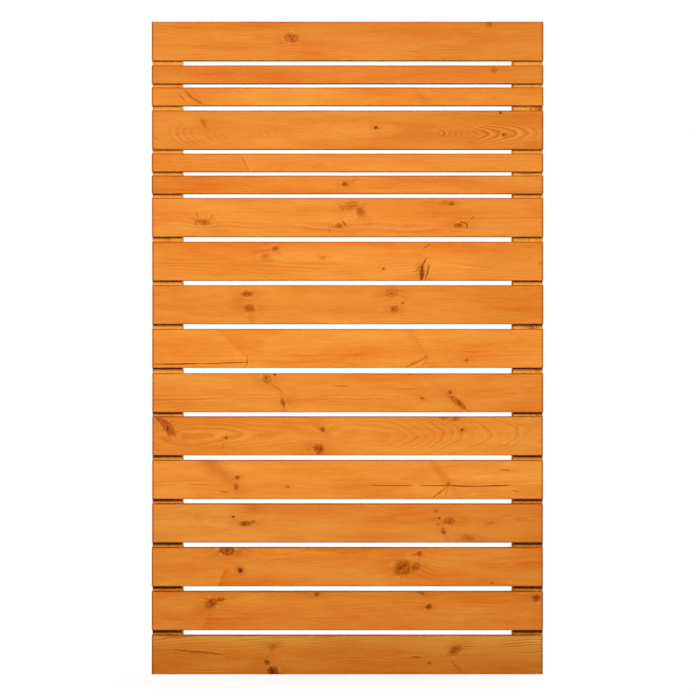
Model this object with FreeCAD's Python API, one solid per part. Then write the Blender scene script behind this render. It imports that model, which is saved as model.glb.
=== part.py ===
import FreeCAD, Part
import os

# Garden privacy screen: horizontal boards of two widths, screwed from behind to two upright battens.
#
# Millimetres. X runs to the right as seen from the front, the fronts of the boards face -Y, and Z is up.
# The origin is on the ground, under the middle of the screen's width and of its depth.

os.makedirs("parts", exist_ok=True)

# Boards
board_length = 900.0
board_thickness = 18.0
wide_board_width = 90.0
narrow_board_width = 42.5
board_edge_round = 2.0
board_end_chamfer = 0.8

# From the top, W is a wide board and N a narrow one.
board_order = "WNNWNN" + 11 * "W"

# The boards are laid up by hand, so each gap is this many times the nominal one, from the top gap down.
board_gap = 10.0
gap_factors = [1.05, 0.8, 1.05, 0.9, 0.8, 0.9, 1.05, 1.0, 1.05, 1.2, 0.9, 1.05, 1.0, 1.05, 1.1, 1.1]

# Battens
batten_width = 69.0
batten_depth = 45.0
batten_edge_round = 1.5
batten_end_chamfer = 1.0

# Screws, countersunk and driven through the battens into the boards
screw_head = 9.0
screw_head_rim = 0.6
screw_shank = 3.3
screw_thread = 4.5
screw_plain_length = 20.0
screw_point_length = 5.0
screw_sink = 3.0
wood_before_point = 5.0
recess_length = 5.0
recess_width = 1.2
recess_depth = 2.0

# Where the screws stand: from a wide board's upper and lower edge, and apart across the batten
screw_edge_distance = 20.0
screw_stagger = 20.0

# Clearances: round a screw in its batten, round its head, and round its thread in the board
shank_clearance = 0.25
head_clearance = 0.2
thread_clearance = 0.1

board_heights = {"W": wide_board_width, "N": narrow_board_width}
total_depth = board_thickness + batten_depth
front_y = -total_depth / 2
joint_y = front_y + board_thickness
back_y = total_depth / 2
screw_face_y = back_y - screw_sink
screw_tip_y = front_y + wood_before_point
screw_length = screw_face_y - screw_tip_y


def board_levels():
    """The lower edge and the height of each board, from the top board down."""
    heights = [board_heights[letter] for letter in board_order]
    gaps = [board_gap * factor for factor in gap_factors]
    level = sum(heights) + sum(gaps)
    levels = []
    for index, height in enumerate(heights):
        level -= height
        levels.append((level, height))
        if index < len(gaps):
            level -= gaps[index]
    return levels


def eased_bar(size, corner, along, edge_round, end_chamfer):
    """A bar with its long edges rounded and its two ends chamfered all round."""
    bar = Part.makeBox(size.x, size.y, size.z, corner)
    long_edges = [e for e in bar.Edges if abs(e.tangentAt(e.FirstParameter).dot(along)) > 0.99]
    bar = bar.makeFillet(edge_round, long_edges)
    ends = [f for f in bar.Faces if abs(f.normalAt(0, 0).dot(along)) > 0.99]
    return bar.makeChamfer(end_chamfer, [e for end in ends for e in end.Edges])


def turned(outline, centre):
    """A solid turned about the Y axis from (radius, y) points, moved to a screw's centre line."""
    points = [FreeCAD.Vector(radius, y, 0) for radius, y in outline]
    face = Part.Face(Part.makePolygon(points + points[:1]))
    solid = face.revolve(FreeCAD.Vector(0, 0, 0), FreeCAD.Vector(0, 1, 0), 360)
    solid.translate(centre)
    return solid


def screw(centre):
    """One countersunk wood screw with a cross recess in its head."""
    shank_end = screw_face_y - screw_plain_length
    step = (screw_thread - screw_shank) / 2
    cone = (screw_head - screw_shank) / 2
    body = turned([
        (0, screw_face_y),
        (screw_head / 2, screw_face_y),
        (screw_head / 2, screw_face_y - screw_head_rim),
        (screw_shank / 2, screw_face_y - screw_head_rim - cone),
        (screw_shank / 2, shank_end),
        (screw_thread / 2, shank_end - step),
        (screw_thread / 2, screw_tip_y + screw_point_length),
        (0, screw_tip_y),
    ], centre)
    low = screw_face_y - recess_depth
    for width, height in ((recess_length, recess_width), (recess_width, recess_length)):
        corner = centre + FreeCAD.Vector(-width / 2, low, -height / 2)
        body = body.cut(Part.makeBox(width, recess_depth, height, corner))
    return body


def batten_hole(centre):
    """The countersunk hole for one screw, cut past the batten's two faces by as much as the head is sunk."""
    head_radius = screw_head / 2 + head_clearance
    hole_radius = screw_thread / 2 + shank_clearance
    rim_y = screw_face_y - screw_head_rim
    return turned([
        (0, back_y + screw_sink),
        (head_radius, back_y + screw_sink),
        (head_radius, rim_y),
        (hole_radius, rim_y - head_radius + hole_radius),
        (hole_radius, joint_y - screw_sink),
        (0, joint_y - screw_sink),
    ], centre)


def board_hole(centre):
    """The blind pointed hole for one screw. It cuts past the board's back by as much as the head is sunk."""
    radius = screw_thread / 2 + thread_clearance
    return turned([
        (0, joint_y + screw_sink),
        (radius, joint_y + screw_sink),
        (radius, screw_tip_y + screw_point_length),
        (0, screw_tip_y - thread_clearance),
    ], centre)


def screw_centres(batten_x, level, height, letter):
    """The centre lines of the screws where one board crosses one batten."""
    middle = level + height / 2
    if letter == "N":
        return [FreeCAD.Vector(batten_x, 0, middle)]
    aside = screw_stagger / 2
    apart = height / 2 - screw_edge_distance
    return [
        FreeCAD.Vector(batten_x - aside, 0, middle + apart),
        FreeCAD.Vector(batten_x + aside, 0, middle - apart),
    ]


levels = board_levels()
total_height = levels[0][0] + levels[0][1]
batten_x = {
    "left": -(board_length - batten_width) / 2,
    "right": (board_length - batten_width) / 2,
}
centres = {
    side: [screw_centres(x, level, height, letter) for (level, height), letter in zip(levels, board_order)]
    for side, x in batten_x.items()
}

# Boards, numbered from the top
for number, (level, height) in enumerate(levels):
    board = eased_bar(
        FreeCAD.Vector(board_length, board_thickness, height),
        FreeCAD.Vector(-board_length / 2, front_y, level),
        FreeCAD.Vector(1, 0, 0),
        board_edge_round,
        board_end_chamfer,
    )
    holes = [board_hole(c) for side in centres for c in centres[side][number]]
    board.cut(holes).exportStep(f"parts/board_{number + 1:02d}.step")

# Battens and their screws
for side, x in batten_x.items():
    side_centres = [c for crossing in centres[side] for c in crossing]
    batten = eased_bar(
        FreeCAD.Vector(batten_width, batten_depth, total_height),
        FreeCAD.Vector(x - batten_width / 2, joint_y, 0),
        FreeCAD.Vector(0, 0, 1),
        batten_edge_round,
        batten_end_chamfer,
    )
    batten.cut([batten_hole(c) for c in side_centres]).exportStep(f"parts/batten_{side}.step")
    Part.makeCompound([screw(c) for c in side_centres]).exportStep(f"parts/screws_{side}.step")

size = f"{board_length:.0f} x {total_depth:.0f} x {total_height:.1f}"
print(f"screen {size} mm, screws {screw_length:.0f} mm long")
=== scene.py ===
# %% [markdown]
# # A garden privacy screen in stained softwood
# Seventeen planed boards in two widths are screwed from behind to two upright battens. The boards and the
# battens are plain rectangular timber, so almost everything that the eye reads as wood is figure: growth
# rings, knots, drying checks and the way a translucent stain sits on them. This lesson loads the fixed
# frame, builds each board as a bar with soft edges, and gives every piece its own figure from a few shared
# node groups.

import math

import bmesh
import bpy
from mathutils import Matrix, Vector, noise


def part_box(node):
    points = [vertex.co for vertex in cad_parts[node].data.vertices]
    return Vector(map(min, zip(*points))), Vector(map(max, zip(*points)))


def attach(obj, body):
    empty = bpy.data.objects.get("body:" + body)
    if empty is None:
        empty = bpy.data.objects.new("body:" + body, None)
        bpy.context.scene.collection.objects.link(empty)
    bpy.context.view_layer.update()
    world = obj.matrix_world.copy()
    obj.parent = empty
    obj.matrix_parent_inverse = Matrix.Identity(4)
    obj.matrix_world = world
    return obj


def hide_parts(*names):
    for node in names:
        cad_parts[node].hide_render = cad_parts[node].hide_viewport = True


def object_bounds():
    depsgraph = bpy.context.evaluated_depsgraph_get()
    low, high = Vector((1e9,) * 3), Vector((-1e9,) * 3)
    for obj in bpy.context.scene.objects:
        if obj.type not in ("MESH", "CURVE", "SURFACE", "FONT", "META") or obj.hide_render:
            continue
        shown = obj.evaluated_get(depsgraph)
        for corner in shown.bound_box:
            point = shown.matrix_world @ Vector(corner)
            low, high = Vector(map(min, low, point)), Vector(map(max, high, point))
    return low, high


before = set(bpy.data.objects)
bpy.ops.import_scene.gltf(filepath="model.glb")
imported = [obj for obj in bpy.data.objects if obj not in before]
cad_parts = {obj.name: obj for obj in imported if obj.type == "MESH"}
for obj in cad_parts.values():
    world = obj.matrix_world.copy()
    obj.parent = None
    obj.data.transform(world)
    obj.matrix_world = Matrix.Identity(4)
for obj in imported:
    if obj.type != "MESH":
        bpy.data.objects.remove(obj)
cad_box = [list(corner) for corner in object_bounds()]
MM = 0.001
print("CAD box in metres:", cad_box)

# %% [markdown]
# ## Reading the boards' places
# Each board's size and place come from its CAD node. The same names give the lesson its counting order,
# which runs from the top board down. A wide board is more than 60 mm high, a narrow one less.

# %% Where the boards are
BOARDS = [name for name in sorted(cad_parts) if name.startswith("board_")]
BATTENS = [name for name in sorted(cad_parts) if name.startswith("batten_")]
SCREWS = [name for name in sorted(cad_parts) if name.startswith("screws_")]
for name in BOARDS:
    low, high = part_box(name)
    print(name, "from", round(low.z / MM), "to", round(high.z / MM), "mm above the ground")

# %% [markdown]
# ## The camera
# The picture is taken square on, level with the middle of the screen and from five metres away, so the
# boards show no convergence and only a sliver of the battens' inner sides. At that distance the lens
# follows from how much of the scene the picture has to cover. The camera stands a millimetre off the
# middle, as the picture shows it.

# %% Camera
VIEW_DISTANCE = 5.0
VIEW_SPAN = 1.599
VIEW_ASIDE = 0.001
SENSOR = 36.0
front_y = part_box(BOARDS[0])[0].y
middle_z = cad_box[1][2] / 2

camera_data = bpy.data.cameras.new("camera")
camera_data.sensor_width = SENSOR
camera_data.lens = SENSOR * VIEW_DISTANCE / VIEW_SPAN
camera = bpy.data.objects.new("camera", camera_data)
camera.location = (VIEW_ASIDE, front_y - VIEW_DISTANCE, middle_z)
camera.rotation_euler = (math.radians(90), 0, 0)
bpy.context.scene.collection.objects.link(camera)
bpy.context.scene.camera = camera
print("lens", round(camera_data.lens, 1), "mm")

# %% [markdown]
# ## Wiring nodes by hand
# Materials here are written as small sums. These helpers add one node, connect or fill its inputs, and hand
# back the output, so that a formula reads from left to right. A socket knows the node tree that it belongs
# to, so a helper finds out from what it is given where to add its node.


# %% Node helpers
def fill(socket, value):
    """Links a socket to an output, or sets it to a plain value."""
    if isinstance(value, bpy.types.NodeSocket):
        socket.id_data.links.new(value, socket)
    elif value is not None:
        socket.default_value = value


def add(kind, *values, **settings):
    """A new node in the tree of the given values, which fill its inputs in their order."""
    tree = next(value.id_data for value in values if isinstance(value, bpy.types.NodeSocket))
    node = tree.nodes.new("ShaderNode" + kind)
    for label, setting in settings.items():
        setattr(node, label, setting)
    for socket, value in zip(node.inputs, values):
        fill(socket, value)
    return node


def maths(operation, a, b=None, c=None, clamp=False):
    """One Math node."""
    return add("Math", a, b, c, operation=operation, use_clamp=clamp).outputs[0]


def times(a, b):
    """a times b."""
    return maths("MULTIPLY", a, b)


def plus(a, b):
    """a plus b."""
    return maths("ADD", a, b)


def times_plus(a, b, c, clamp=False):
    """a times b, plus c."""
    return maths("MULTIPLY_ADD", a, b, c, clamp)


def vector(operation, a, b=None, scale=None):
    """One Vector Math node. Length and dot product come out as a number."""
    node = add("VectorMath", a, b, None, scale, operation=operation)
    return node.outputs["Value" if operation in ("LENGTH", "DOT_PRODUCT") else "Vector"]


def part(value, axis):
    """The x, y or z part of a vector."""
    return add("SeparateXYZ", value).outputs[axis]


def turned(value, angle):
    """A vector turned about the y axis."""
    node = add("VectorRotate", value, rotation_type="Y_AXIS")
    fill(node.inputs["Angle"], angle)
    return node.outputs[0]


def ramp(value, start, end, low=0.0, high=1.0):
    """A smooth step of value from start to end, between low and high."""
    return add("MapRange", value, start, end, low, high, interpolation_type="SMOOTHSTEP").outputs[0]


def blend(amount, a, b, kind="MIX"):
    """A mix of two colours. Five inputs of the Mix node, which are for numbers and vectors, stay empty."""
    node = add("Mix", amount, *[None] * 5, a, b, data_type="RGBA", blend_type=kind)
    return node.outputs[2]


def cloud(place, stretch, detail=2.0, roughness=0.5):
    """Smooth noise about zero, from -0.5 to 0.5, with so many waves a metre along each axis."""
    node = add("TexNoise", vector("MULTIPLY", place, stretch))
    node.inputs["Scale"].default_value = 1.0
    node.inputs["Detail"].default_value = detail
    node.inputs["Roughness"].default_value = roughness
    return maths("SUBTRACT", node.outputs[0], 0.5)


def effect(name, vectors, numbers, outputs):
    """An empty node group with named sockets. Every input is zero until a material fills it."""
    tree = bpy.data.node_groups.new(name, "ShaderNodeTree")
    for labels, kind in ((vectors, "NodeSocketVector"), (numbers, "NodeSocketFloat")):
        for label in labels:
            tree.interface.new_socket(label, in_out="INPUT", socket_type=kind)
    for label in outputs:
        kind = "NodeSocketColor" if label == "Color" else "NodeSocketFloat"
        tree.interface.new_socket(label, in_out="OUTPUT", socket_type=kind)
    entry = tree.nodes.new("NodeGroupInput")
    leave = tree.nodes.new("NodeGroupOutput")
    return tree, entry.outputs, leave.inputs


def use(tree, group, **values):
    """Places a node group in a tree and fills its inputs. Underscores in a name stand for spaces."""
    node = tree.nodes.new("ShaderNodeGroup")
    node.node_tree = group
    for label, value in values.items():
        fill(node.inputs[label.replace("_", " ")], value)
    return node.outputs


print("A formula is made with maths, times, plus, times_plus, vector, part, turned, ramp, blend and cloud")

# %% [markdown]
# ## Growth rings
# A log's rings are nested tubes round its heart. A board is a slice through them, so its face shows the
# rings as long lines, and as pointed arches where the slice runs out through a ring. The cheap way to paint
# this is a wave texture, but its lines never close or fork. Here the distance from a leaning heart line is
# worked out in three dimensions, so faces, edges and end grain all agree. Each ring darkens slowly and ends
# sharply. Noise makes the heart line wander, and lets some rings and some stretches of board show more than
# others.


# %% Ring group
# Noise waves a metre along a board and across it
WAVES = {
    "slow wander": (3.5, 12.0, 12.0),
    "quick wander": (16.0, 70.0, 70.0),
    "strong places": (8.0, 32.0, 32.0),
    "fine fibres": (26.0, 520.0, 520.0),
    "coarse fibres": (10.0, 150.0, 150.0),
    "dashes": (42.0, 400.0, 400.0),
    "patches": (4.2, 24.0, 24.0),
}
SLOW_WANDER = 0.016
QUICK_WANDER = 0.0024

# Where in a ring, from 0 to 1, the dark late wood and the light line beside it rise and fall
LATE_RISE, LATE_FALL = (0.45, 0.84), (0.88, 0.98)
EARLY_RISE, EARLY_FALL = (0.0, 0.12), (0.16, 0.42)

# How much stronger the rings show where a knot bends them, for each metre of bend, and at most
SWERVE_GAIN = 260.0
SWERVE_MOST = 1.3


def make_rings():
    """The figure of flat-sawn softwood: ring lines, the light line beside each, fibres and slow patches."""
    tree, given, out = effect(
        "sawn softwood rings",
        vectors=("Place", "Heart", "Lean"),
        numbers=("Ring Width", "Wander", "Ring Bend", "Seed"),
        outputs=("Late", "Early", "Fibre", "Patch"),
    )
    place = given["Place"]
    own = vector("ADD", place, vector("SCALE", (3.7, 1.9, 2.3), scale=given["Seed"]))
    leaning = vector("SCALE", given["Lean"], scale=part(place, 0))
    heart = vector("ADD", given["Heart"], leaning)
    across = vector("MULTIPLY", vector("SUBTRACT", place, heart), (0.0, 1.0, 1.0))
    slow = times(cloud(own, WAVES["slow wander"]), SLOW_WANDER)
    quick = times(cloud(own, WAVES["quick wander"], 3.0), QUICK_WANDER)
    wander = times(plus(slow, quick), given["Wander"])
    radius = plus(plus(vector("LENGTH", across), wander), given["Ring Bend"])
    turns = maths("DIVIDE", radius, given["Ring Width"])
    phase = maths("FRACT", turns)
    late = times(ramp(phase, *LATE_RISE), ramp(phase, *LATE_FALL, 1.0, 0.0))
    early = times(ramp(phase, *EARLY_RISE), ramp(phase, *EARLY_FALL, 1.0, 0.0))
    ring_number = add("CombineXYZ", turns, times(given["Seed"], 5.3))
    ring_noise = cloud(ring_number.outputs[0], (0.45, 1.0, 1.0), 1.0)
    some_rings = ramp(ring_noise, -0.12, 0.2, 0.15, 1.0)
    some_places = ramp(cloud(own, WAVES["strong places"], 1.0), -0.16, 0.2, 0.05, 1.1)
    swerve = times(maths("ABSOLUTE", given["Ring Bend"]), SWERVE_GAIN)
    swerve = maths("MINIMUM", swerve, SWERVE_MOST)
    strength = times(some_rings, plus(some_places, swerve))
    fill(out["Late"], times(late, strength))
    fill(out["Early"], times(early, strength))
    fine = cloud(own, WAVES["fine fibres"], 3.0, 0.65)
    coarse = cloud(own, WAVES["coarse fibres"], 3.0)
    dashes = cloud(own, WAVES["dashes"], 1.0)
    dashes = maths("SUBTRACT", ramp(dashes, 0.08, 0.26), ramp(dashes, -0.08, -0.26))
    fibre = times_plus(coarse, 1.2, times_plus(dashes, 0.7, fine))
    fill(out["Fibre"], fibre)
    fill(out["Patch"], cloud(own, WAVES["patches"], 4.0, 0.6))
    return tree


RINGS = make_rings()
print("ring group:", len(RINGS.nodes), "nodes")


# %% Shared noise group
def make_unevenness():
    """Small noise shared by every knot and line of a board: ragged for borders, waver for lines."""
    tree, given, out = effect("unevenness", vectors=("Place",), numbers=(), outputs=("Ragged", "Waver"))
    fill(out["Ragged"], cloud(given["Place"], (210.0, 90.0, 230.0), 3.0, 0.6))
    fill(out["Waver"], cloud(given["Place"], (50.0, 0.0, 50.0), 2.0))
    return tree


UNEVEN = make_unevenness()
print("unevenness group:", len(UNEVEN.nodes), "nodes")

# %% [markdown]
# ## Knots
# A knot is the stub of a branch, cut across. It has rings of its own, a dark bark line, and a reddish cloud
# of resin round it, and the board's rings swerve to pass it. The group works on one knot and is placed once
# for each: it takes the sums that the knots before it made, and passes them on with its own share.


# %% Knot group
# Where each part of a knot rises and falls, as distances from its middle over its radius
BODY_FALL = (0.4, 1.4)
BARK_RISE, BARK_FALL = (0.55, 0.95), (1.0, 1.45)
RAY_FALL = (1.0, 2.4)
FLECK_RISE, FLECK_FALL = (1.0, 1.25), (1.35, 2.0)
CLOUD_FALL = (0.3, 2.8)
PUSH_REACH = 1.7

BORDER_RAGGED, BODY_RAGGED = 0.65, 1.1
KNOT_RINGS, KNOT_RING_DEPTH, KNOT_LEVEL = 7.0, 0.1, 0.98
RAY_STRENGTH, BARK_STRENGTH = 0.2, 0.55


def make_knot():
    """One knot: its dark parts, the resin and light flecks round it, and how far it pushes the rings."""
    tree, given, out = effect(
        "knot",
        vectors=("Place", "Middle"),
        numbers=(
            "Ragged", "Radius", "Stretch", "Turn", "Dark", "Cloud", "Bend", "Core So Far", "Cloud So Far",
            "Bend So Far", "Fleck So Far",
        ),
        outputs=("Core", "Cloud", "Bend", "Fleck"),
    )
    from_middle = vector("SUBTRACT", given["Place"], given["Middle"])
    from_middle = vector("MULTIPLY", from_middle, (1.0, 0.12, 1.0))
    squeeze = add("CombineXYZ", given["Stretch"], 1.0, 1.0)
    oval = vector("DIVIDE", turned(from_middle, given["Turn"]), squeeze.outputs[0])
    size = given["Radius"]
    reach = maths("DIVIDE", vector("LENGTH", oval), size)
    heading = vector("NORMALIZE", oval)
    own = vector("SCALE", given["Middle"], scale=90.0)
    lobes = cloud(vector("ADD", heading, own), (0.9, 0.9, 0.9), 1.0)
    strokes = cloud(vector("ADD", heading, own), (2.6, 2.6, 2.6), 1.0)
    uneven = times_plus(given["Ragged"], BORDER_RAGGED, lobes)
    edge = times(reach, plus(uneven, 1.0))
    lopsided = ramp(lobes, -0.12, 0.12, 1.2, 0.65)
    body = times(ramp(edge, *BODY_FALL, 1.0, 0.0), lopsided)
    own_rings = maths("SINE", times(edge, KNOT_RINGS))
    inner = times_plus(own_rings, KNOT_RING_DEPTH, KNOT_LEVEL)
    inner = times_plus(given["Ragged"], BODY_RAGGED, inner)
    core = times(body, inner)
    bark = times(ramp(edge, *BARK_RISE), ramp(edge, *BARK_FALL, 1.0, 0.0))
    bark = times(bark, ramp(lobes, -0.1, 0.14, 0.0, BARK_STRENGTH))
    rays = times(ramp(strokes, 0.06, 0.2), ramp(edge, *RAY_FALL, RAY_STRENGTH, 0.0))
    tone = plus(plus(core, bark), rays)
    tone = times(tone, given["Dark"])
    wide = vector("LENGTH", vector("MULTIPLY", oval, (0.6, 1.0, 1.0)))
    wide = maths("DIVIDE", wide, size)
    soft = ramp(plus(wide, uneven), *CLOUD_FALL, 1.0, 0.0)
    fleck = times(ramp(strokes, -0.02, -0.14), ramp(edge, *FLECK_RISE))
    fleck = times(fleck, ramp(edge, *FLECK_FALL, 1.0, 0.0))
    far = vector("LENGTH", vector("MULTIPLY", from_middle, (0.5, 1.0, 1.0)))
    far = maths("DIVIDE", far, times(size, PUSH_REACH))
    push = maths("EXPONENT", times(times(far, far), -1.0))
    soft = times(soft, given["Cloud"])
    fleck = times(fleck, given["Dark"])
    fill(out["Core"], maths("MAXIMUM", given["Core So Far"], tone))
    fill(out["Cloud"], maths("MAXIMUM", given["Cloud So Far"], soft))
    fill(out["Bend"], times_plus(push, given["Bend"], given["Bend So Far"]))
    fill(out["Fleck"], maths("MAXIMUM", given["Fleck So Far"], fleck))
    return tree


KNOT = make_knot()
print("knot group:", len(KNOT.nodes), "nodes")

# %% [markdown]
# ## Checks and bark lines
# Timber splits along its fibres as it dries, and thin dark lines of bark run out from some knots. Both are
# a line between two points that thins out towards its ends and wavers a little, so one group serves for
# both.


# %% Line group
LINE_WAVER, LINE_RAGGED = 0.005, 1.3
TIP_WIDTH, BELLY_WIDTH = 0.25, 3.0


def make_line():
    """A thin dark line between two points on the board's face, tapering to both ends, with a light side."""
    tree, given, out = effect(
        "dark line",
        vectors=("Place", "Start", "End"),
        numbers=("Waver", "Ragged", "Width", "Dark", "Line So Far", "Fleck So Far"),
        outputs=("Line", "Fleck"),
    )
    # Cycles has room for only so many values at once, and how many it holds depends on the order in which the
    # nodes were made. With this one made before its input, the board with the most knots and lines fits.
    off = tree.nodes.new("ShaderNodeCombineXYZ")
    fill(off.inputs[2], times(given["Waver"], LINE_WAVER))
    place = vector("MULTIPLY", vector("ADD", given["Place"], off.outputs[0]), (1.0, 0.0, 1.0))
    span = vector("SUBTRACT", given["End"], given["Start"])
    rest = vector("SUBTRACT", place, given["Start"])
    length = vector("DOT_PRODUCT", span, span)
    share = maths("DIVIDE", vector("DOT_PRODUCT", rest, span), length, clamp=True)
    gap = vector("SUBTRACT", rest, vector("SCALE", span, scale=share))
    bow = times(maths("SUBTRACT", 1.0, share), share)
    width = times(times_plus(bow, BELLY_WIDTH, TIP_WIDTH), given["Width"])
    across = maths("DIVIDE", vector("LENGTH", gap), width)
    left = vector("NORMALIZE", vector("CROSS_PRODUCT", span, (0.0, 1.0, 0.0)))
    side = maths("DIVIDE", vector("DOT_PRODUCT", gap, left), width)
    body = times_plus(given["Ragged"], LINE_RAGGED, ramp(across, 0.0, 2.0, 1.0, 0.0))
    line = times(ramp(body, 0.15, 0.95), given["Dark"])
    fleck = times(ramp(side, 0.9, 1.5), ramp(across, 1.6, 2.6, 1.0, 0.0))
    fleck = times(fleck, given["Dark"])
    fill(out["Line"], maths("MAXIMUM", given["Line So Far"], line))
    fill(out["Fleck"], maths("MAXIMUM", given["Fleck So Far"], fleck))
    return tree


LINE = make_line()
print("line group:", len(LINE.nodes), "nodes")

# %% [markdown]
# ## Shade edges
# Where a branch lay just under the face, the stain takes up differently on its two sides, and a slanting
# edge divides a paler stretch of board from a darker one. The group lifts or lowers the tone on the left of
# a line from one point to another, and lets it fade with distance.


# %% Shade group
EDGE_WAVER = 0.007
EDGE_RISE = (-0.0015, 0.0025)


def make_shade():
    """A change of tone on the left of a line between two points, fading away from it."""
    tree, given, out = effect(
        "shade edge",
        vectors=("Place", "Start", "End"),
        numbers=("Waver", "Reach", "Amount", "Shade So Far"),
        outputs=("Shade",),
    )
    whole = vector("SUBTRACT", given["End"], given["Start"])
    left = vector("CROSS_PRODUCT", vector("NORMALIZE", whole), (0.0, 1.0, 0.0))
    rest = vector("SUBTRACT", given["Place"], given["Start"])
    length = vector("DOT_PRODUCT", whole, whole)
    share = maths("DIVIDE", vector("DOT_PRODUCT", rest, whole), length)
    ends = times(ramp(share, -0.3, 0.1), ramp(share, 0.9, 1.3, 1.0, 0.0))
    side = times_plus(given["Waver"], EDGE_WAVER, vector("DOT_PRODUCT", rest, left))
    edge = ramp(side, *EDGE_RISE)
    fade = maths("EXPONENT", maths("DIVIDE", times(side, -1.0), given["Reach"]))
    fade = maths("MINIMUM", fade, 1.0)
    tone = times(times(edge, fade), times(ends, given["Amount"]))
    fill(out["Shade"], plus(given["Shade So Far"], tone))
    return tree


SHADE = make_shade()
print("shade group:", len(SHADE.nodes), "nodes")

# %% [markdown]
# ## Honey stain on softwood
# A translucent stain keeps the figure visible. Where the wood takes up more of it, the colour doesn't only
# darken: the film absorbs blue most and red least, so deeper places look more orange. A tone number works
# like that here. It scales red a little, green more and blue most. Late wood, knots, checks and end grain
# soak up much more stain, so they are a film over that colour, which lets less light through the deeper it
# is. The group turns all the masks into one colour, one roughness and one height in millimetres, and leaves
# the shader itself to the material.

# %% Stain colours
AMBER = (0.84, 0.264, 0.030, 1.0)
RESIN = (0.60, 0.145, 0.012, 1.0)
DEPTH_WEIGHTS = (0.5, 1.75, 3.6)
SOAK_WEIGHTS = (1.0, 1.48, 3.7)

# How much each mask lifts the tone number, and how much stain it soaks up
LIFTS = {"Late": -0.16, "Early": 0.24, "Fibre": 0.115, "Patch": 0.6, "Fleck": 0.25}
LATE_SOAK, LINE_SOAK = 0.28, 0.8
CORE_SOAK, CORE_DEEPENS = 0.12, 0.85

# Roughness of plain stained wood and what the masks add, and their heights in millimetres
STAIN_ROUGHNESS = 0.62
ROUGHER = {"Fibre": 0.14, "Core": 0.05, "End": 0.2, "Line": 0.25}
HEIGHTS = {"Fibre": 0.022, "Late": 0.04, "Core": 0.08, "Line": -0.9}

# How far a trend or a rise of one changes the tone number in a metre along or up the board
TREND_SLOPE, RISE_SLOPE = 2.2, 22.0


def make_stain():
    """Colour, roughness and height of stained softwood from its masks."""
    tree, given, out = effect(
        "honey stain",
        vectors=("Place",),
        numbers=(
            "Late", "Early", "Fibre", "Patch", "Core", "Cloud", "Fleck", "Line", "Shade", "Edge", "End",
            "Figure", "Tone", "Depth", "Trend", "Rise",
        ),
        outputs=("Color", "Roughness", "Height"),
    )
    masks = dict(given.items())
    for label in ("Late", "Early"):
        masks[label] = times(given[label], given["Figure"])
    depth = given["Depth"]
    for label, amount in LIFTS.items():
        depth = times_plus(masks[label], amount, depth)
    depth = plus(depth, given["Shade"])
    along = times(part(given["Place"], 0), TREND_SLOPE)
    depth = times_plus(along, given["Trend"], depth)
    up = times(part(given["Place"], 2), RISE_SLOPE)
    depth = times_plus(up, given["Rise"], depth)
    shares = [maths("MAXIMUM", times_plus(depth, weight, 1.0), 0.05) for weight in DEPTH_WEIGHTS]
    tone = add("CombineColor", *[times(share, given["Tone"]) for share in shares])
    colour = blend(1.0, AMBER, tone.outputs[0], "MULTIPLY")
    colour = blend(given["Cloud"], colour, RESIN)
    soak = times(given["Core"], times_plus(given["Core"], CORE_DEEPENS, CORE_SOAK))
    soak = times_plus(masks["Late"], LATE_SOAK, soak)
    soak = times_plus(given["Line"], LINE_SOAK, soak)
    # Edge brings the sides' deeper stain and painted shade, End the deeper stain of the end grain.
    soak = plus(maths("MAXIMUM", given["Edge"], given["End"]), soak)
    film = add("CombineColor", *[maths("EXPONENT", times(soak, -weight)) for weight in SOAK_WEIGHTS])
    fill(out["Color"], blend(1.0, colour, film.outputs[0], "MULTIPLY"))
    rough, height = STAIN_ROUGHNESS, 0.0
    for label, amount in ROUGHER.items():
        rough = times_plus(masks[label], amount, rough)
    for label, amount in HEIGHTS.items():
        height = times_plus(masks[label], amount, height)
    fill(out["Roughness"], maths("MINIMUM", rough, 1.0))
    fill(out["Height"], height)
    return tree


STAIN = make_stain()
print("stain group:", len(STAIN.nodes), "nodes")

# %% [markdown]
# ## Arrises and end grain
# The narrow sides and the arrises of a board are darker than its face, partly because they take more stain
# and partly as painted shade for the gaps between the boards. The upper side is painted darkest, as though no
# light came from above. The ends are darker because end grain drinks more stain. Their masks come from the
# bar's size: they fade in over the last few millimetres towards a side or an end, with a ragged border.


# %% Arris group
# How many metres from a side, a face or an end the sides' painted shade and deeper stain, and the ends'
# deeper stain, run out, and how dark they are there
TOP_FALL, BOTTOM_FALL = (0.0010, 0.0032), (0.0004, 0.0026)
FACE_RISE, END_FALL = (0.0006, 0.004), (0.0, 0.0055)
TOP_SHADE, BOTTOM_SHADE, FACE_DARK, END_DARK = (1.2, 1.7), 0.5, 0.4, 0.65
RAGGED_REACH = 0.0016
UPPER_RISE = (-0.004, 0.004)


def make_arris():
    """Where a point lies near the long edges and sides (stain and painted shade) and near the ends."""
    tree, given, out = effect(
        "arris and end grain",
        vectors=("Place", "Half Size"),
        numbers=("Ragged", "Sides"),
        outputs=("Edge", "End"),
    )
    inside = vector("SUBTRACT", given["Half Size"], vector("ABSOLUTE", given["Place"]))
    soft = times(given["Ragged"], RAGGED_REACH)
    side = plus(part(inside, 2), soft)
    # The sides' darkening is partly painted shade: the upper side gets a patchy top shade, the lower less.
    patchy_top_shade = ramp(cloud(given["Place"], (12.0, 25.0, 25.0), 2.0), -0.22, 0.08, *TOP_SHADE)
    top = times(ramp(side, *TOP_FALL, 1.0, 0.0), patchy_top_shade)
    bottom = ramp(side, *BOTTOM_FALL, BOTTOM_SHADE, 0.0)
    upper = ramp(part(given["Place"], 2), *UPPER_RISE)
    difference = maths("SUBTRACT", top, bottom)
    edge = times_plus(difference, upper, bottom)
    edge = times(edge, ramp(part(inside, 1), *FACE_RISE, FACE_DARK, 1.0))
    fill(out["Edge"], times(edge, given["Sides"]))
    end = plus(part(inside, 0), soft)
    fill(out["End"], ramp(end, *END_FALL, END_DARK, 0.0))
    return tree


ARRIS = make_arris()
print("arris group:", len(ARRIS.nodes), "nodes")

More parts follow.
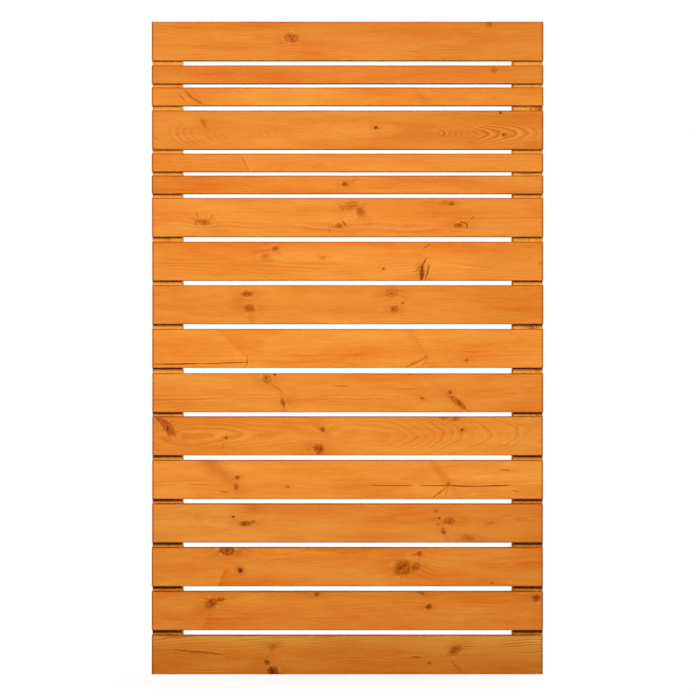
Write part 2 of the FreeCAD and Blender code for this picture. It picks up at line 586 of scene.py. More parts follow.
# %% [markdown]
# ## What each board shows
# No two boards are alike, so each has its own figure: how deep behind its face the heart of the log lay,
# how far above its middle, and how the heart leans along it. Knots, lines and shade edges are placed in
# millimetres from the board's middle, to the right and up, as they were read off the real screen. A knot's
# darkness is a share, and goes above one for the blackest knots. Strokes are only painted, while cracks are
# cut into the face as well. Most boards are a little short at one end or the other, as hand-sawn boards
# are.


# %% Figure of each board
CLOUD_SHARE, BEND_SHARE = 0.55, 0.55


def knot(x, z, radius, dark, stretch=1.0, turn=0, cloud=None, bend=None):
    """A knot in millimetres and degrees. A turn tips its right end down.

    Its cloud follows from its darkness and its bend from its radius, where they aren't given.
    """
    return {
        "Middle": (x * MM, 0.0, z * MM),
        "Radius": radius * MM,
        "Stretch": stretch,
        "Turn": math.radians(-turn),
        "Dark": dark,
        "Cloud": dark * CLOUD_SHARE if cloud is None else cloud,
        "Bend": (radius * BEND_SHARE if bend is None else bend) * MM,
    }


def between(x0, z0, x1, z1):
    """The two ends of a line in millimetres."""
    return {"Start": (x0 * MM, 0.0, z0 * MM), "End": (x1 * MM, 0.0, z1 * MM)}


def line(x0, z0, x1, z1, width, dark):
    """A dark line in millimetres."""
    return between(x0, z0, x1, z1) | {"Width": width * MM, "Dark": dark}


def shade(x0, z0, x1, z1, reach, amount):
    """A shade edge in millimetres. Its left side, looking from the first point to the second, changes."""
    return between(x0, z0, x1, z1) | {"Reach": reach * MM, "Amount": amount}


def board(
    heart, lean, ring, figure, tone, depth=0.0, trend=0.0, rise=0.0, wander=1.0,
    knots=(), strokes=(), cracks=(), shades=(), ends=(0.0, 0.0),
):
    """A board's figure: heart (deep, up) and ring width in millimetres, the heart's lean as slopes.

    Figure is how strongly the rings show. Tone scales the whole colour, depth is the tone number, and trend
    and rise let it change along and up the board. The tones grow from the top board downwards partly as
    painted light, making up for the lamp's weaker light on the lower boards. The ends are how far its left
    and right end stand in, in millimetres.
    """
    return {
        "Heart": (0.0, heart[0] * MM, heart[1] * MM),
        "Lean": (0.0, lean[0], lean[1]),
        "Ring": ring * MM,
        "Figure": figure,
        "Tone": tone,
        "Depth": depth,
        "Trend": trend,
        "Rise": rise,
        "Wander": wander,
        "knots": list(knots),
        "strokes": list(strokes),
        "cracks": list(cracks),
        "shades": list(shades),
        "ends": ends,
    }


# %% [markdown]
# ### The upper six boards
# Two wide boards, each followed by two narrow ones. The second wide board was cut close to the heart, so
# its rings run out as pointed arches near both ends.

# %% Figures of boards 1 to 6
# The tones rise towards the lower boards partly as painted light, making up for the lamp's weaker light
# there.
FIGURES = {
    1: board(
        (55, 60), (0.015, 0.01), 5.0, 0.24, 0.847, 0.008, -0.03, -0.03,
        knots=[
            knot(-129, 8, 9.5, 0.66, 1.75, 4), knot(-426, 15, 9, 0.0, bend=6),
            knot(35, 26, 16, 0.0, 4.0, cloud=0.34, bend=0),
            knot(-165, 38, 6, 0.0, 5.0, cloud=0.3, bend=0), knot(326, 38, 5, 0.7, 1.3),
        ],
        strokes=[line(305, 44, 345, 43, 1.6, 0.5), line(-262, 45, -196, 44, 1.6, 0.6)],
    ),
    2: board(
        (70, -50), (0.01, -0.01), 4.6, 0.2, 0.848, -0.035, 0.03, 0.03,
        knots=[knot(336, 11, 6, 0.5, 1.2), knot(6, 2, 17, 0.0, 8.0, cloud=0.26, bend=0)],
        strokes=[line(325, 15, 336, 3, 1.7, 0.5), line(347, 15, 336, 3, 2.0, 0.55)],
    ),
    3: board(
        (60, 75), (-0.01, 0.02), 4.2, 0.22, 0.886, 0.04, -0.02, -0.12,
        knots=[knot(-349, -2, 5, 0.12, 3.5, 42, cloud=0.3), knot(171, 0, 7, 0.1, 2.0, 50, cloud=0.25)],
        strokes=[
            line(-390, 8, -368, -16, 1.8, 0.6), line(-374, 14, -352, -8, 3.4, 0.6),
            line(-357, -3, -334, -17, 4.0, 0.5), line(165, 8, 182, -14, 2.2, 0.3),
        ],
    ),
    4: board(
        (9, -6), (-0.15, 0.0), 2.7, 0.36, 0.831, -0.016, -0.02, wander=0.35,
        knots=[
            knot(65, 5, 3.6, 1.05, 1.2, bend=-6), knot(351, 39, 3.2, 1.1), knot(358, -11, 3.4, 1.1),
            knot(-331, 15, 6, 0.45, 1.9, 60, cloud=0.28, bend=0), knot(285, 14, 30, 0.0, bend=9, cloud=0),
        ],
        ends=(0.5, 0),
    ),
    5: board(
        (75, 60), (0.01, 0.0), 5.0, 0.18, 0.874, -0.024, 0.05, -0.05,
        knots=[knot(-93, 0, 4, 0.0, 2.0, bend=3)],
        strokes=[line(-244, 22, -226, -20, 2.0, 0.45)],
        shades=[shade(-244, 22, -226, -20, 40, 0.1)],
        ends=(0, 0.4),
    ),
    6: board(
        (60, -60), (0.0, 0.015), 4.4, 0.2, 0.872, -0.028, 0.09,
        knots=[knot(-6, 1, 6, 0.78, 1.2, 0), knot(12, 7, 3, 0.35, 4.0, -38)],
    ),
}
print(len(FIGURES), "boards have their figure")

# %% [markdown]
# ### The middle five boards
# All are wide. The first two have the most knots and bark lines, and the fourth has the long check that is
# cut in from its left end.

# %% Figures of boards 7 to 11
FIGURES |= {
    7: board(
        (85, -55), (0.008, 0.0), 4.0, 0.36, 0.899, 0.01, -0.02, -0.02,
        knots=[
            knot(-330, -11, 7, 0.68, 1.7, 8), knot(-348, -12, 5, 0.4, 1.3),
            knot(-297, -28, 9, 0.12, 2.2, 15, cloud=0.34, bend=0), knot(-20, -19, 5.2, 0.7, 1.7),
            knot(8, 27, 9.5, 0.5, 1.6, -20, cloud=0.4), knot(29, 13, 9, 0.66, 1.3, 50, cloud=0.5),
            knot(-13, 23, 5, 0.6, 1.4, 40), knot(239, 32, 5, 0.74, 1.3, cloud=0.45),
            knot(254, -19, 5.6, 0.76, 2.0), knot(224, 34, 5, 0.3, 3.0, cloud=0.3),
        ],
        strokes=[
            line(-12, -7, -2, -20, 2.4, 0.7), line(-43, -17, -41, -38, 2.4, 0.4),
            line(-349, 13, -342, 0, 3.6, 0.42), line(-319, -5, -308, 6, 3.2, 0.45),
            line(258, -9, 276, -15, 2.4, 0.75), line(276, -13, 272, -27, 2.6, 0.75),
            line(276, -9, 292, 4, 1.8, 0.55), line(20, 8, 42, 30, 1.8, 0.55),
            line(230, 26, 239, 34, 1.8, 0.6), line(266, 17, 290, 8, 1.6, 0.3),
        ],
        ends=(0.6, 0),
    ),
    8: board(
        (90, 40), (-0.01, 0.0), 3.8, 0.38, 0.916, 0, 0.02, -0.05,
        knots=[
            knot(-166, 29, 5, 0.7, 1.8, -32), knot(-188, 16, 9, 0.26, 1.1, cloud=0.36),
            knot(-59, 8, 4, 0.45, 2.2), knot(82, -17, 2.6, 1.0, bend=2),
            knot(170, -20, 9, 0.2, 1.6, 80, cloud=0.5, bend=3), knot(444, -6, 4, 0.4, 1.0),
            knot(112, 1, 7, 0.0, 4.0, cloud=0.3, bend=2),
        ],
        strokes=[
            line(191, 39, 173, 29, 2.6, 0.6), line(182, 9, 171, -12, 3.0, 0.7),
            line(172, -6, 169, -44, 5.5, 1.0), line(188, -8, 178, -44, 3.4, 0.7),
            line(155, -25, 172, -6, 2.8, 0.5),
        ],
        ends=(1, 0.4),
    ),
    9: board(
        (70, 70), (0.012, -0.01), 5.2, 0.22, 0.902, -0.011, -0.01, -0.03,
        knots=[
            knot(-231, 25, 6.5, 0.78, 2.0), knot(-226, -8, 9, 0.7, 1.25),
            knot(-244, 12, 12, 0.0, 1.2, 50, cloud=0.38, bend=0),
            knot(-221, -30, 6, 0.14, 2.0, 80, cloud=0.36, bend=0),
            knot(101, 28, 12, 0.46, 1.2, cloud=0.55), knot(101, 25, 3, 0.9, bend=0),
            knot(107, -10, 8, 0.68, 1.1, cloud=0.45), knot(126, 4, 2.6, 0.9, bend=1),
        ],
        ends=(1.2, 0),
    ),
    10: board(
        (95, -70), (0.0, 0.012), 5.0, 0.22, 0.971, -0.008, 0.0, 0.01,
        knots=[
            knot(273, -27, 3.2, 0.75, 1.4, -25, bend=1), knot(180, -20, 4, 0.5, 1.2),
            knot(163, 6, 6, 0.0, 4.0, 58, cloud=0.22, bend=0),
        ],
        strokes=[
            line(-231, -18, -231, -44, 1.5, 0.8), line(-231, -34, -238, -45, 1.2, 0.5),
            line(176, -23, 132, -44, 3.6, 0.55), line(182, -24, 170, -44, 2.0, 0.4),
            line(153, 31, 178, -16, 2.6, 0.22),
        ],
        cracks=[line(-449, -36.5, -330, -35, 1.5, 0.85), line(-335, -35, -226, -32, 1.2, 0.7)],
        shades=[shade(-296, 38, -232, -24, 160, -0.1)],
        ends=(1, 0.4),
    ),
    11: board(
        (50, 30), (-0.012, 0.02), 4.6, 0.36, 0.917, 0, -0.03, -0.03,
        knots=[
            knot(-186, 31, 9.5, 0.66, 1.1), knot(-168, 43, 3.5, 0.9, 1.2, bend=0),
            knot(-149, -23, 5.4, 0.78, 1.8, 80), knot(-137, -20, 8, 0.2, 1.3, cloud=0.4),
            knot(253, -22, 6, 0.76, 4.2, 38, cloud=0.46), knot(235, 1, 4.9, 0.75, 1.2),
            knot(171, -12, 3.2, 0.7, 1.6, 20),
        ],
        strokes=[
            line(-177, 22, -148, 0, 4.0, 0.28), line(-36, 16, 6, 15, 1.6, 0.65),
            line(106, 10, 156, 8, 2.2, 0.35), line(-330, 4, -250, 10, 1.6, 0.3),
        ],
        ends=(1.2, 0.5),
    ),
}
print(len(FIGURES), "boards have their figure")

# %% [markdown]
# ### The lower six boards
# The largest knots are here. The second has a check on both sides of a small knot, and the lowest board shows
# its grain most.

# %% Figures of boards 12 to 17
FIGURES |= {
    12: board(
        (85, 4), (0.01, 0.0), 3.0, 0.2, 0.935, 0, 0.07, -0.05,
        knots=[
            knot(-413, 20, 9.5, 0.82, 2.5, 48, cloud=0.46), knot(-434, 38, 5.5, 0.75, 1.6, 50),
            knot(-58, 15, 5, 0.78, 1.4, 35), knot(-279, -5, 3.6, 0.85, 1.2),
            knot(-66, -30, 10, 0.76, 1.2, 25, cloud=0.5), knot(249, 41, 7, 0.62, 1.4, cloud=0.44),
            knot(263, 14, 4, 1.0), knot(222, 43, 5, 0.7, 2.4), knot(85, 4, 85, 0.0, cloud=0, bend=-50),
            knot(-400, 4, 85, 0.0, cloud=0, bend=-50),
        ],
        strokes=[line(-280, -10, -290, -32, 2.6, 0.28)],
        ends=(1.2, 1.2),
    ),
    13: board(
        (80, 55), (0.01, 0.0), 5.0, 0.24, 1, 0.028, 0.0, -0.01,
        knots=[
            knot(-307, 31, 11, 0.16, 2.6, 38, cloud=0.6, bend=0), knot(-253, 5, 5, 0.8, 1.0),
            knot(-256, -16, 5.2, 0.8, 1.3, 80), knot(-137, -16, 3, 0.68, 1.5),
            knot(231, -9, 4.6, 0.6, 1.0), knot(209, 22, 6, 0.1, 4.0, 52, cloud=0.36, bend=0),
        ],
        strokes=[
            line(-293, -26, -274, -29, 1.8, 0.75), line(-366, -10, -312, -11, 1.4, 0.45),
            line(233, -14, 193, -44, 2.2, 0.7), line(231, -16, 224, -42, 1.8, 0.5),
            line(222, -22, 205, -44, 1.6, 0.4), line(350, 23, 376, 22, 1.8, 0.7),
            line(377, -25, 396, -27, 2.0, 0.6),
        ],
        cracks=[
            line(232, -14, 300, -15.5, 1.5, 0.85), line(290, -15.5, 375, -13, 1.5, 0.8),
            line(50, -13, 150, -14, 1.3, 0.6), line(165, -13, 236, -14.5, 1.2, 0.6),
        ],
        ends=(1, 0.8),
    ),
    14: board(
        (26, 10), (-0.05, -0.004), 3.4, 0.26, 0.916, 0.005, -0.07, -0.03,
        knots=[
            knot(-262, 15, 2.6, 1.05, bend=2), knot(-234, -1, 6.4, 0.88, 1.9),
            knot(-217, 3, 4.4, 0.7, 1.4), knot(-219, 38, 9, 0.2, 1.2, cloud=0.5),
            knot(204, 28, 2.7, 0.9, bend=1), knot(211, 12, 3, 0.95, bend=1),
            knot(208, -3, 3, 0.65, bend=1), knot(234, 5, 8, 0.62, 1.6, cloud=0.4),
            knot(220, -19, 5.5, 0.72, 1.5, 60), knot(276, -34, 7, 0.46, 2.0, 8, cloud=0.46),
            knot(327, 1, 4.6, 0.36, 2.5),
        ],
        strokes=[line(-455, 11, -390, 8, 1.4, 0.4)],
        ends=(0.8, 1.2),
    ),
    15: board(
        (60, 45), (0.015, -0.015), 4.6, 0.3, 0.967, -0.032, -0.05, -0.03,
        knots=[
            knot(-276, 38, 10, 1.0, 1.7), knot(-250, 36, 8, 0.26, 1.2, cloud=0.48),
            knot(-246, -7, 5.5, 1.15, 1.1, 45), knot(127, -3, 17, 0.76, 1.1, cloud=0.46),
            knot(157, 1, 10, 0.7, 1.0, cloud=0.46), knot(166, 31, 5.6, 0.9),
            knot(333, -37, 2.2, 0.9, bend=1),
        ],
        strokes=[line(143, 28, 168, 30, 1.9, 0.55), line(-192, 14, -130, 22, 1.8, 0.25)],
        shades=[shade(-284, -8, -299, -46, 40, -0.22)],
        ends=(0, 1.2),
    ),
    16: board(
        (85, -60), (0.0, 0.01), 4.8, 0.24, 0.969, -0.044, -0.02, -0.04,
        knots=[
            knot(-312, 18, 9.5, 0.76, 1.7, -30, cloud=0.48), knot(-293, 26, 5.5, 0.72, 2.2, -8),
            knot(-70, 38, 5.2, 0.76, 1.2), knot(187, 9, 6, 0.9, 1.1, cloud=0.42),
            knot(170, 42, 5, 0.75, 1.6, 20), knot(434, 30, 8.2, 0.78, 1.1, cloud=0.44),
        ],
        shades=[shade(-321, -8, -337, -48, 90, -0.1)],
        ends=(0, 1),
    ),
    17: board(
        (40, 62), (0.02, 0.03), 3.6, 0.95, 0.86, 0.016, 0.04, 0.14,
        knots=[
            knot(-172, 19, 8, 0.45, 1.2, cloud=0.44), knot(-185, -17, 5.8, 0.86, 1.2, 40),
            knot(-171, -38, 10, 1.1, 1.25, cloud=0.5), knot(248, 11, 9, 0.74, 1.7, -32, cloud=0.44),
            knot(188, -19, 3.5, 0.7, 1.4), knot(0, 8, 18, 0.0, 2.0, cloud=0.34, bend=4),
            knot(330, -26, 18, 0.0, 4.0, cloud=0.4, bend=0),
            knot(-420, -2, 14, 0.0, 2.0, cloud=0.3, bend=0),
            knot(-203, -30, 13, 0.0, 1.4, -40, cloud=0.5, bend=0),
        ],
        strokes=[
            line(-400, 12, -284, 1, 3.4, 0.6), line(237, -12, 267, -46, 2.6, 0.5),
            line(246, -12, 274, -46, 1.8, 0.4), line(146, -4, 169, -5, 1.8, 0.65),
        ],
        ends=(0, 1.5),
    ),
}
for kind in ("knots", "strokes", "cracks", "shades"):
    print(sum(len(figure[kind]) for figure in FIGURES.values()), kind)

# %% [markdown]
# ## Assembling a wood material
# Each piece gets its own material, because its masks are its own, but every one is wired the same way:
# place the pattern on the piece, run the chains of knots, lines and shade edges, feed the rings, and stain
# the result. The object coordinates are turned so that the fibres run along x.


# %% Wood material
PLANK_GLOSS = 0.05
BATTEN_GLOSS = 0.02
# The battens' narrow sides take this share of the boards' side darkening, which is partly painted shade.
BATTEN_SIDES = 0.35
RINGS_MAKE = ("Late", "Early", "Fibre", "Patch")
BOARD_GIVES = ("Figure", "Tone", "Depth", "Trend", "Rise")


def wood(name, middle, half_size, figure, seed, gloss, upright=False):
    """A stained softwood material for one bar."""
    material = bpy.data.materials.new(name)
    material.use_nodes = True
    tree = material.node_tree
    shader = tree.nodes["Principled BSDF"]
    coordinates = tree.nodes.new("ShaderNodeTexCoord")
    centred = add("Mapping", coordinates.outputs["Object"])
    centred.inputs["Location"].default_value = -Vector(middle)
    place = centred.outputs[0]
    if upright:
        place = turned(place, math.radians(90))
    shader.inputs["Specular IOR Level"].default_value = gloss
    uneven = use(tree, UNEVEN, Place=place)
    core, soft, bend, fleck, dark_line, tone_edge = 0.0, 0.0, 0.0, 0.0, 0.0, 0.0
    for values in figure["knots"]:
        result = use(
            tree, KNOT, Place=place, Ragged=uneven["Ragged"], Core_So_Far=core, Cloud_So_Far=soft,
            Bend_So_Far=bend, Fleck_So_Far=fleck, **values,
        )
        core, soft, bend, fleck = result["Core"], result["Cloud"], result["Bend"], result["Fleck"]
    for values in figure["strokes"]:
        result = use(
            tree, LINE, Place=place, Waver=uneven["Waver"], Ragged=uneven["Ragged"], Line_So_Far=core,
            Fleck_So_Far=fleck, **values,
        )
        core, fleck = result["Line"], result["Fleck"]
    for values in figure["cracks"]:
        result = use(tree, LINE, Place=place, Line_So_Far=dark_line, Fleck_So_Far=fleck, **values)
        dark_line, fleck = result["Line"], result["Fleck"]
    for values in figure["shades"]:
        result = use(tree, SHADE, Place=place, Waver=uneven["Waver"], Shade_So_Far=tone_edge, **values)
        tone_edge = result["Shade"]
    rings = use(
        tree, RINGS, Place=place, Heart=figure["Heart"], Lean=figure["Lean"], Ring_Width=figure["Ring"],
        Wander=figure["Wander"], Ring_Bend=bend, Seed=seed,
    )
    masks = {label: rings[label] for label in RINGS_MAKE}
    levels = {label: figure[label] for label in BOARD_GIVES}
    sides = BATTEN_SIDES if upright else 1.0
    edges = use(tree, ARRIS, Place=place, Half_Size=tuple(half_size), Ragged=uneven["Ragged"], Sides=sides)
    stain = use(
        tree, STAIN, Place=place, Core=core, Cloud=soft, Fleck=fleck, Line=dark_line, Shade=tone_edge,
        Edge=edges["Edge"], End=edges["End"], **masks, **levels,
    )
    bump = tree.nodes.new("ShaderNodeBump")
    bump.inputs["Strength"].default_value = 1.0
    bump.inputs["Distance"].default_value = MM
    fill(bump.inputs["Height"], stain["Height"])
    fill(shader.inputs["Base Color"], stain["Color"])
    fill(shader.inputs["Roughness"], stain["Roughness"])
    fill(shader.inputs["Normal"], bump.outputs[0])
    return material


print("gloss:", PLANK_GLOSS, "for the boards,", BATTEN_GLOSS, "for the battens")

# %% [markdown]
# ## Building a board
# The real board is planed on four sides, its long edges rounded over by the planer and its ends sawn and
# lightly sanded. A cube bevelled twice has that outline. The face is then divided so finely that it can
# carry real relief: knots stand a little proud because the wood round them shrinks more, and the arrises
# waver. Everything moves inwards only, so a board never leaves the space that the frame gives it.

# %% A bar with soft edges
EDGE_ROUND = 2.0 * MM
END_EASE = 0.8 * MM
ROUND_STEPS, EASE_STEPS = 4, 2
TOLERANCE = 0.001 * MM


def bar(low, high, edge_round, end_ease):
    """A bar along x with rounded long edges and eased ends."""
    bm = bmesh.new()
    bmesh.ops.create_cube(bm, size=1)
    bmesh.ops.scale(bm, vec=high - low, verts=bm.verts)
    bmesh.ops.translate(bm, vec=(low + high) / 2, verts=bm.verts)

    def soften(edges, offset, segments):
        bmesh.ops.bevel(
            bm, geom=edges, offset=offset, segments=segments, profile=0.5, affect="EDGES", material=-1
        )

    def along(edge):
        return abs((edge.verts[0].co - edge.verts[1].co).x)

    soften([e for e in bm.edges if along(e) > MM], edge_round, ROUND_STEPS)
    soften([e for e in bm.edges if along(e) < TOLERANCE], end_ease, EASE_STEPS)
    return bm


print("edges rounded by", EDGE_ROUND / MM, "mm, ends eased by", END_EASE / MM, "mm")

# %% A divided face
FACE_STEP = 5.0 * MM


def on_face(vertex, low):
    return abs(vertex.co.y - low.y) < TOLERANCE


def divide(bm, low, high):
    """Divides the bar along its length, and its front face across as well."""
    size = high - low
    long_edges = [e for e in bm.edges if e.calc_length() > size.x / 2]
    bmesh.ops.subdivide_edges(bm, edges=long_edges, cuts=round(size.x / FACE_STEP) - 1, use_grid_fill=True)
    rungs = [e for e in bm.edges if e.calc_length() > size.z / 2 and all(on_face(v, low) for v in e.verts)]
    bmesh.ops.subdivide_edges(bm, edges=rungs, cuts=round(size.z / FACE_STEP) - 1, use_grid_fill=True)


print("the face is divided every", FACE_STEP / MM, "mm")

# %% A groove for each crack
GROOVE = 1.6 * MM
PAST_END = 0.05


def groove(bm, low, high, crack):
    """Cuts a shallow V along a crack. It is deepest in its middle and runs out at both ends."""
    middle = (low + high) / 2
    start, end = (Vector((middle.x, low.y, middle.z)) + Vector(crack[label]) for label in ("Start", "End"))
    whole = end - start
    across = whole.cross(Vector((0, 1, 0))).normalized()

    def share_of(place):
        return place.dot(whole) / whole.length_squared

    def near(face):
        place = face.calc_center_median() - start
        beside = abs(place.dot(across)) < 2 * FACE_STEP and -PAST_END < share_of(place) < 1 + PAST_END
        return beside and all(on_face(v, low) for v in face.verts)

    for side in (-1, 1, 0):
        faces = [face for face in bm.faces if near(face)]
        parts = {bit for face in faces for bit in (face, *face.edges, *face.verts)}
        point = start + across * side * crack["Width"]
        bmesh.ops.bisect_plane(bm, geom=list(parts), dist=TOLERANCE, plane_co=point, plane_no=across)
    for vertex in bm.verts:
        place = vertex.co - start
        share = share_of(place)
        if on_face(vertex, low) and abs(place.dot(across)) < 10 * TOLERANCE and 0 < share < 1:
            vertex.co.y += GROOVE * math.sqrt(4 * share * (1 - share))


print("a groove is", GROOVE / MM, "mm deep in its middle")

# %% Relief and wavering edges
RELIEF = 0.25 * MM
RELIEF_ALONG, RELIEF_UP = 14, 40
ARRIS_WAVER = 0.35 * MM
WAVER_ALONG, WAVER_IN, NICKS_ALONG, NICK_LEVEL = 9, 20, 70, 0.25


def carve(bm, low, high, figure, seed):
    """Lowers the face between the knots and makes the long edges waver, always inwards."""
    middle = (low + high) / 2
    half = (high.z - low.z) / 2
    for vertex in bm.verts:
        x, y, z = vertex.co
        up = z - middle.z
        if on_face(vertex, low) and half - abs(up) > 1.2 * EDGE_ROUND:
            sink = 0.5 + 0.5 * noise.noise(Vector((x * RELIEF_ALONG + seed, up * RELIEF_UP, seed)))
            for values in figure["knots"]:
                away = (Vector((x, 0, up)) - Vector(values["Middle"])).length
                nearness = math.exp(-((away / (values["Radius"] * values["Stretch"])) ** 2))
                sink *= 1 - nearness * min(values["Dark"], 1.0)
            vertex.co.y += RELIEF * sink
        if half - abs(up) < EDGE_ROUND:
            side = math.copysign(1, up)
            waver = 0.5 + 0.5 * noise.noise(Vector((x * WAVER_ALONG, seed * 3 + side, y * WAVER_IN)))
            nick = noise.noise(Vector((x * NICKS_ALONG, seed * 5 + side, 1.0))) - NICK_LEVEL
            waver += 0.5 * max(0.0, nick)
            vertex.co.z -= side * ARRIS_WAVER * waver


print("relief", RELIEF / MM, "mm at most, edges waver by about", ARRIS_WAVER / MM, "mm")

# %% From a mesh to a piece
SHARP_DEGREES = 35


def piece(bm, name, node, material):
    """Turns a finished bmesh into a smooth-shaded piece that stands for a CAD node."""
    bmesh.ops.recalc_face_normals(bm, faces=bm.faces)
    for face in bm.faces:
        face.smooth = True
    for edge in bm.edges:
        edge.smooth = edge.calc_face_angle(0) < math.radians(SHARP_DEGREES)
    mesh = bpy.data.meshes.new(name)
    bm.to_mesh(mesh)
    bm.free()
    mesh.materials.append(material)
    made = bpy.data.objects.new(name, mesh)
    bpy.context.scene.collection.objects.link(made)
    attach(made, "root")
    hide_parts(node)
    return made


print("edges sharper than", SHARP_DEGREES, "degrees stay sharp")

# %% [markdown]
# ## The seventeen boards
# One loop makes them all, each from its own CAD node, its own figure and its own seed.

# %% Make the boards
for number, node in enumerate(BOARDS, 1):
    low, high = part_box(node)
    figure = FIGURES[number]
    low.x += figure["ends"][0] * MM
    high.x -= figure["ends"][1] * MM
    middle, half_size = (low + high) / 2, (high - low) / 2
    material = wood(f"honey_stain_{number:02d}", middle, half_size, figure, float(number), PLANK_GLOSS)
    bm = bar(low, high, EDGE_ROUND, END_EASE)
    divide(bm, low, high)
    for crack in figure["cracks"]:
        groove(bm, low, high, crack)
    carve(bm, low, high, figure, float(number))
    made = piece(bm, f"plank_{number:02d}", node, material)
    print(made.name, len(made.data.polygons), "faces")

# %% [markdown]
# ## The battens
# The battens carry their countersunk screw holes in the CAD model already, so their meshes stay and only
# take a material. Their fibres run upright.

# %% Batten material
FIRST_BATTEN_SEED = 31
BATTEN_FIGURES = {
    "batten_left": board(
        (70, 25), (0.004, 0.003), 4.4, 0.5, 0.842, 0.212,
        knots=[
            knot(-520, 12, 9, 0.7, 1.3, 20), knot(-130, -14, 7, 0.7, 1.2),
            knot(265, 8, 10, 0.65, 1.2, -15), knot(585, -20, 6, 0.7, 1.5),
        ],
    ),
    "batten_right": board(
        (60, -30), (-0.004, 0.004), 4.0, 0.5, 0.85, 0.2,
        knots=[
            knot(-610, -10, 8, 0.7, 1.2), knot(551, -8, 3.6, 0.9, cloud=0.4),
            knot(551, -27, 5, 0.8, cloud=0.5), knot(604, -10, 2, 0.5, 7.0, 88, cloud=0.3),
            knot(-300, 15, 6, 0.6, 1.6, 30), knot(40, -8, 10, 0.7, 1.1), knot(420, 14, 8, 0.65, 1.3, -25),
        ],
    ),
}
for seed, node in enumerate(BATTENS, FIRST_BATTEN_SEED):
    low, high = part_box(node)
    size = (high - low) / 2
    half_size = (size.z, size.y, size.x)
    figure = BATTEN_FIGURES[node]
    material = wood(node + "_stain", (low + high) / 2, half_size, figure, float(seed), BATTEN_GLOSS, True)
    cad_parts[node].data.materials.clear()
    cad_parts[node].data.materials.append(material)
    print(node, "takes", material.name, "with", len(figure["knots"]), "knots")

# %% [markdown]
# ## Zinc screws
# Yellow-passivated zinc is metal with a thin film that shifts from straw to pinkish brown. A slow noise
# mixes the two colours, and a finer one varies the roughness.


# %% Screw material
STRAW = (0.78, 0.60, 0.27, 1.0)
BROWN = (0.62, 0.40, 0.24, 1.0)
FILM_WAVES, SCUFF_WAVES = (160.0,) * 3, (900.0,) * 3
ZINC_ROUGHNESS, SCUFF_DEPTH = 0.36, 0.3


def make_zinc():
    """Yellow-passivated zinc on steel."""
    material = bpy.data.materials.new("yellow_zinc")
    material.use_nodes = True
    tree = material.node_tree
    shader = tree.nodes["Principled BSDF"]
    coordinates = tree.nodes.new("ShaderNodeTexCoord")
    film = cloud(coordinates.outputs["Object"], FILM_WAVES, 3.0)
    fill(shader.inputs["Base Color"], blend(ramp(film, -0.2, 0.2), STRAW, BROWN))
    scuff = cloud(coordinates.outputs["Object"], SCUFF_WAVES, 2.0)
    fill(shader.inputs["Roughness"], times_plus(scuff, SCUFF_DEPTH, ZINC_ROUGHNESS, clamp=True))
    shader.inputs["Metallic"].default_value = 1.0
    return material


ZINC = make_zinc()
for node in SCREWS:
    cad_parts[node].data.materials.clear()
    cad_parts[node].data.materials.append(ZINC)
    print(node, "takes", ZINC.name)

# %% [markdown]
# ## Floor and surroundings
# The screen stands on a plain pale floor. To the camera, and in reflections, the floor is white with the
# screen's shadow near its foot, and the world behind it is white. Diffuse light sees a grey floor and a
# dim, even world, so the white costs the wood none of its colour.


# %% Floor
def seen(tree):
    """1 for what the camera sees, directly, mirrored or through something clear, and 0 for diffuse light."""
    path = tree.nodes.new("ShaderNodeLightPath")
    mirrored = maths("MAXIMUM", path.outputs["Is Glossy Ray"], path.outputs["Is Transmission Ray"])
    return maths("MAXIMUM", path.outputs["Is Camera Ray"], mirrored)


FLOOR_HALF = 6.0
FLOOR_GREY = (0.1, 0.1, 0.1, 1.0)
FLOOR_PALE = (0.95, 0.95, 0.95, 1.0)

# The shadow fades out between these two distances from the screen's middle. Along the screen it reaches
# further, so distances count for less there.
SHADOW_FADE = (0.1, 0.45)
SHADOW_SHAPE = (0.6, 1.0, 0.0)
WHITE_UNDER_SCREEN = 0.8

bm = bmesh.new()
bmesh.ops.create_grid(bm, x_segments=1, y_segments=1, size=FLOOR_HALF)
floor_mesh = bpy.data.meshes.new("floor")
bm.to_mesh(floor_mesh)
bm.free()
floor = bpy.data.objects.new("floor", floor_mesh)
bpy.context.scene.collection.objects.link(floor)

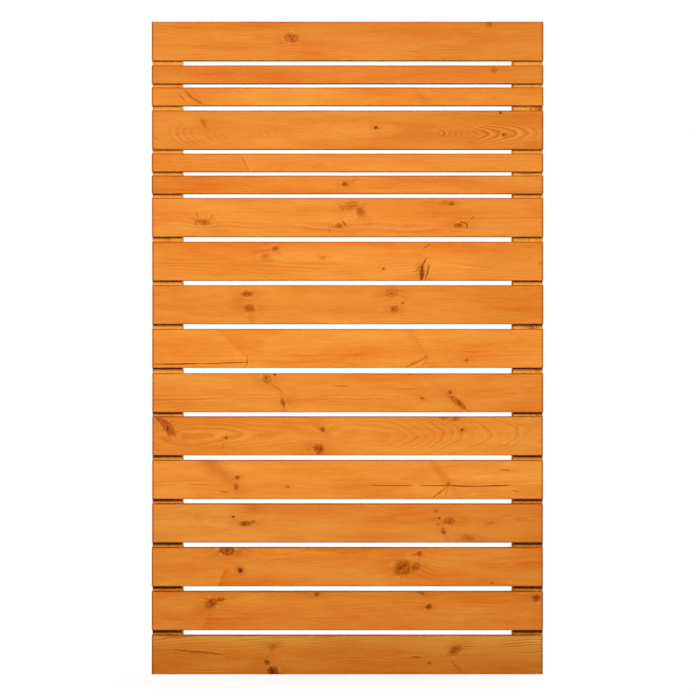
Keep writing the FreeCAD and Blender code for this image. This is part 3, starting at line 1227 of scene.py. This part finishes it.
floor_material = bpy.data.materials.new("pale_floor")
floor_material.use_nodes = True
tree = floor_material.node_tree
tree.nodes.remove(tree.nodes["Principled BSDF"])
coordinates = tree.nodes.new("ShaderNodeTexCoord")
matt = tree.nodes.new("ShaderNodeBsdfDiffuse")
white = tree.nodes.new("ShaderNodeEmission")
white.inputs["Strength"].default_value = 1.0
fill(matt.inputs["Color"], blend(seen(tree), FLOOR_GREY, FLOOR_PALE))
away = vector("LENGTH", vector("MULTIPLY", coordinates.outputs["Object"], SHADOW_SHAPE))
shown = times(ramp(away, *SHADOW_FADE, WHITE_UNDER_SCREEN, 1.0), seen(tree))
mixed = add("MixShader", shown, matt.outputs[0], white.outputs[0])
fill(tree.nodes["Material Output"].inputs["Surface"], mixed.outputs[0])
floor_mesh.materials.append(floor_material)
print("floor", 2 * FLOOR_HALF, "m wide")

# %% World
WORLD_LEVEL = 0.018

world = bpy.data.worlds.new("studio")
world.use_nodes = True
bpy.context.scene.world = world
tree = world.node_tree
background = tree.nodes["Background"]
background.inputs["Color"].default_value = (1.0, 1.0, 1.0, 1.0)
fill(background.inputs["Strength"], ramp(seen(tree), 0.0, 1.0, WORLD_LEVEL, 1.0))
print("the world lights the screen at", WORLD_LEVEL)

# %% [markdown]
# ## Lamps
# The gaps tell where the light stood. Just under the top board hardly any shadow falls on a batten, and in
# the lowest gaps it covers most of it, so the lamp was rather more than two metres in front of the screen,
# with its middle about level with the top board. Its size follows from how softly the shadows end. One lamp
# behind and one at each side light the screen for the other views.


# %% Lamps
def softbox(name, place, target, width, height, power):
    """An area lamp at place, facing target."""
    data = bpy.data.lights.new(name, "AREA")
    data.shape = "RECTANGLE"
    data.size = width
    data.size_y = height
    data.energy = power
    lamp = bpy.data.objects.new(name, data)
    lamp.location = place
    lamp.rotation_euler = (Vector(target) - Vector(place)).to_track_quat("-Z", "Y").to_euler()
    lamp.visible_camera = False
    bpy.context.scene.collection.objects.link(lamp)
    print(name, "lamp", power, "W")


softbox("key", place=(-0.14, -2.43, 1.45), target=(0, 0, 0.5), width=0.95, height=0.7, power=70.3)
softbox("back", place=(0.8, 3.0, 2.2), target=(0, 0, 0.7), width=1.4, height=1.4, power=90)
for side in (-1, 1):
    softbox("side", place=(side * 2.6, 0.4, 1.0), target=(0, 0.4, 0.7), width=1.0, height=1.0, power=36)

# %% [markdown]
# ## Finish
# The view transform is set to Standard, so colours show as they are written.

# %% Finish
bpy.context.scene.view_settings.view_transform = "Standard"
